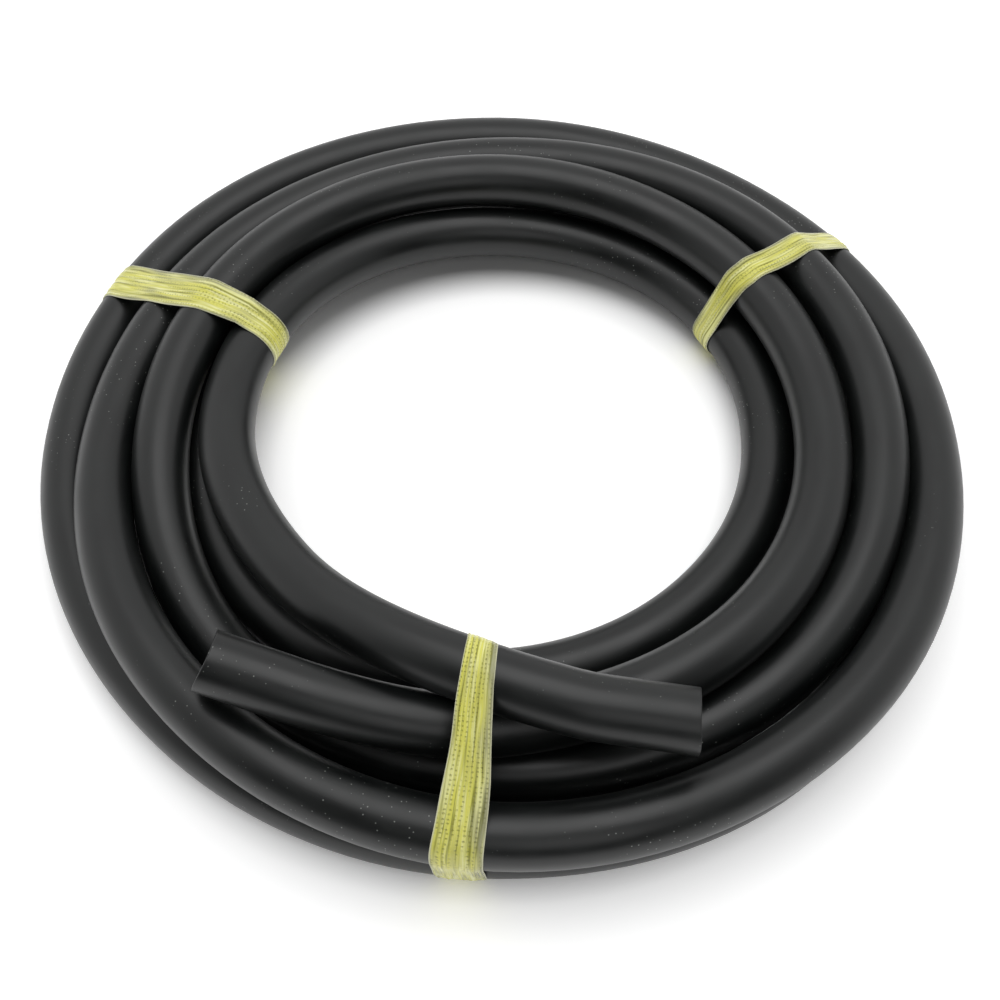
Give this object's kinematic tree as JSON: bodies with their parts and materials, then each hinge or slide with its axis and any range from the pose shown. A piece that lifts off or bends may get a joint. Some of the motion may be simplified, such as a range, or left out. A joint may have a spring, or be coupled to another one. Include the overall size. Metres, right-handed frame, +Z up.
{
  "type": "coiled garden hose",
  "caption": "Smooth black rubber water hose wound in a flat coil, with bare cut ends, held by tape ties.",
  "frame": {"origin": "under the middle of the coil's box, on the surface it lies on", "axes": "+Z up, the coil lies flat, and its two loose ends cross at the front, on the -Y side"},
  "size_m": [0.3992, 0.4074, 0.0787],
  "materials": {
    "hose_rubber": "smooth extruded black rubber, satin",
    "tie_tape": "ribbed translucent yellow-green polypropylene tying tape"
  },
  "bodies": {
    "root": {"hose_coil": "hose_rubber", "hose_left_end": "hose_rubber", "hose_right_end": "hose_rubber", "front_tie": "tie_tape", "left_tie": "tie_tape", "right_tie": "tie_tape"}
  },
  "joints": []
}
